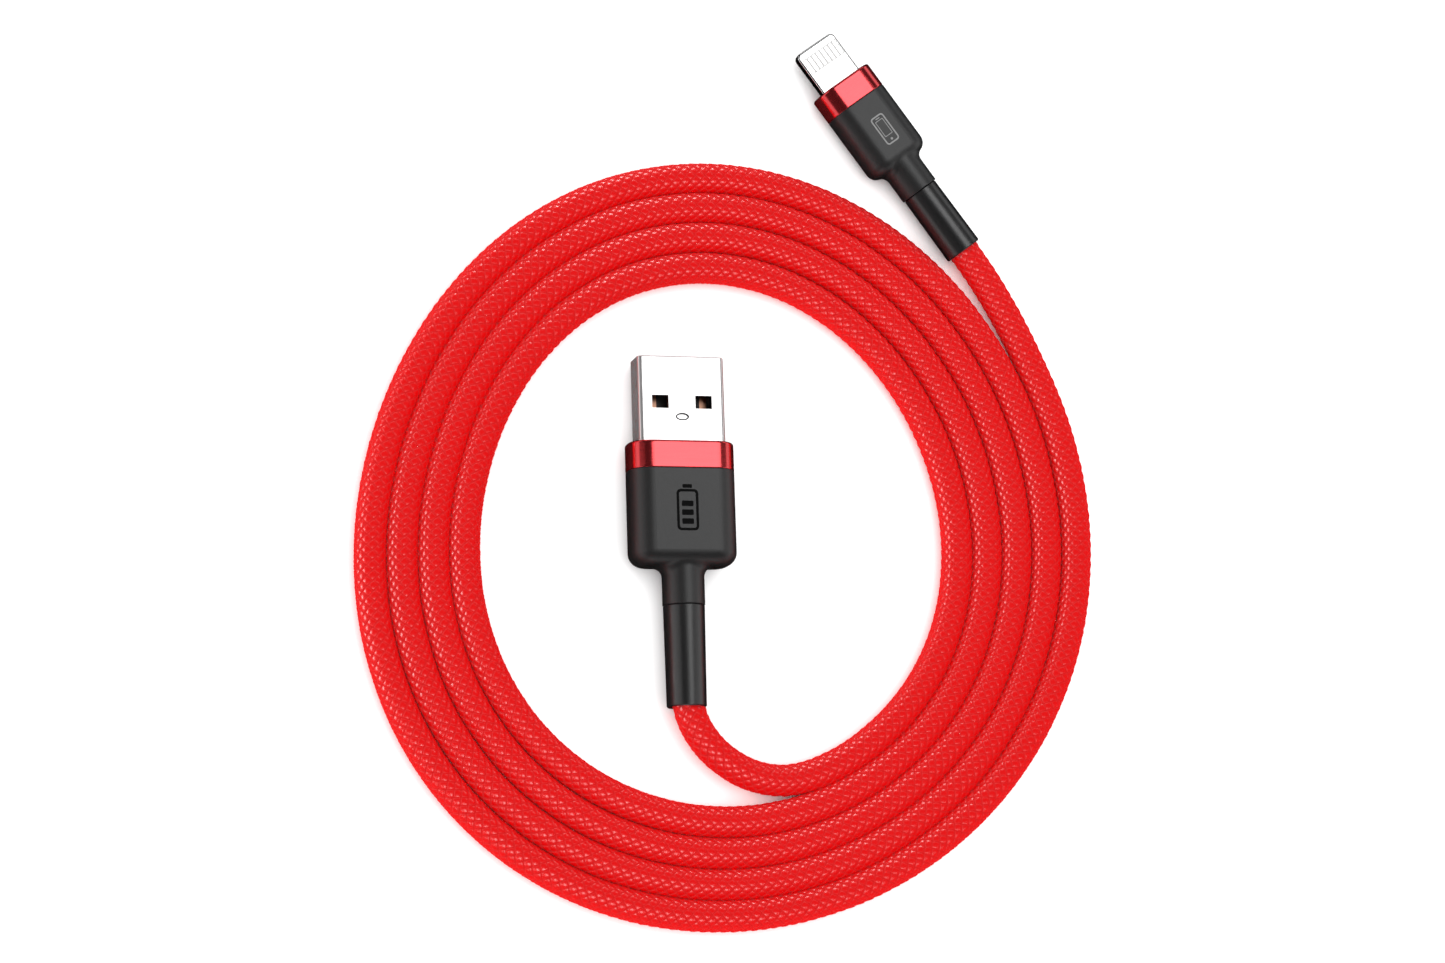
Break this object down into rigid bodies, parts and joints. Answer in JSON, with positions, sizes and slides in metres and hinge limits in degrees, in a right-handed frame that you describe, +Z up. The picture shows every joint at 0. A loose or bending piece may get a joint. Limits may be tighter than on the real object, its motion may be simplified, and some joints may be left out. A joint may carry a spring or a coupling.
{
  "type": "charging cable",
  "caption": "Braided charging cable in a flat round coil, with a type-A plug and a slim phone plug, each with a metal collar and a tubular strain relief.",
  "frame": {"origin": "bottom centre of the type-A plug, on the surface that the cable lies on", "axes": "+Y from the type-A plug's strain relief towards its tip, +Z up from the surface, +X to the plug's right"},
  "size_m": [0.1028, 0.1241, 0.0072],
  "materials": {
    "board_laminate": "coated laminate",
    "can_metal": "stamped, unpolished",
    "capacitor_ceramic": "fired ceramic",
    "carrier_plastic": "plain moulded plastic",
    "chip_plastic": "moulded package",
    "collar_metal": "polished red anodised metal",
    "contact_metal": "plated contact metal",
    "cord_jacket": "woven polyester braid, slightly glossy",
    "drain_copper": "bare stranded wire",
    "ferrule_metal": "crimped sleeve",
    "housing_plastic": "fine matt moulded plastic",
    "inner_mould_plastic": "plain moulded plastic",
    "insulator_plastic": "black moulded plastic",
    "shell_steel": "plated, satin",
    "solder": "solidified solder",
    "strain_relief_plastic": "soft satin moulded plastic",
    "tip_metal": "bright plating",
    "wire_black": "extruded insulation",
    "wire_green": "extruded insulation",
    "wire_red": "extruded insulation",
    "wire_white": "extruded insulation"
  },
  "bodies": {
    "root": {"cord_coil": "cord_jacket", "cord_phone_tail": "cord_jacket", "cord_type_a_tail": "cord_jacket", "phone_board": "board_laminate", "phone_capacitor_1": "capacitor_ceramic", "phone_capacitor_2": "capacitor_ceramic", "phone_collar": "collar_metal", "phone_contact_back_1": "contact_metal", "phone_contact_back_2": "contact_metal", "phone_contact_back_3": "contact_metal", "phone_contact_back_4": "contact_metal", "phone_contact_back_5": "contact_metal", "phone_contact_back_6": "contact_metal", "phone_contact_back_7": "contact_metal", "phone_contact_back_8": "contact_metal", "phone_contact_carrier": "carrier_plastic", "phone_contact_front_1": "contact_metal", "phone_contact_front_2": "contact_metal", "phone_contact_front_3": "contact_metal", "phone_contact_front_4": "contact_metal", "phone_contact_front_5": "contact_metal", "phone_contact_front_6": "contact_metal", "phone_contact_front_7": "contact_metal", "phone_contact_front_8": "contact_metal", "phone_controller_chip": "chip_plastic", "phone_cord_end": "cord_jacket", "phone_ferrule": "ferrule_metal", "phone_housing": "housing_plastic", "phone_inner_mould": "inner_mould_plastic", "phone_shield_can": "can_metal", "phone_solder_joints": "solder", "phone_strain_relief": "strain_relief_plastic", "phone_tip_frame": "tip_metal", "phone_wire_data_minus": "wire_white", "phone_wire_data_plus": "wire_green", "phone_wire_ground": "wire_black", "phone_wire_power": "wire_red", "type_a_collar": "collar_metal", "type_a_contact_data_minus": "contact_metal", "type_a_contact_data_plus": "contact_metal", "type_a_contact_ground": "contact_metal", "type_a_contact_power": "contact_metal", "type_a_cord_end": "cord_jacket", "type_a_drain_wire": "drain_copper", "type_a_ferrule": "ferrule_metal", "type_a_housing": "housing_plastic", "type_a_inner_mould": "inner_mould_plastic", "type_a_insulator": "insulator_plastic", "type_a_shell": "shell_steel", "type_a_solder_joints": "solder", "type_a_strain_relief": "strain_relief_plastic", "type_a_wire_data_minus": "wire_white", "type_a_wire_data_plus": "wire_green", "type_a_wire_ground": "wire_black", "type_a_wire_power": "wire_red"}
  },
  "joints": []
}
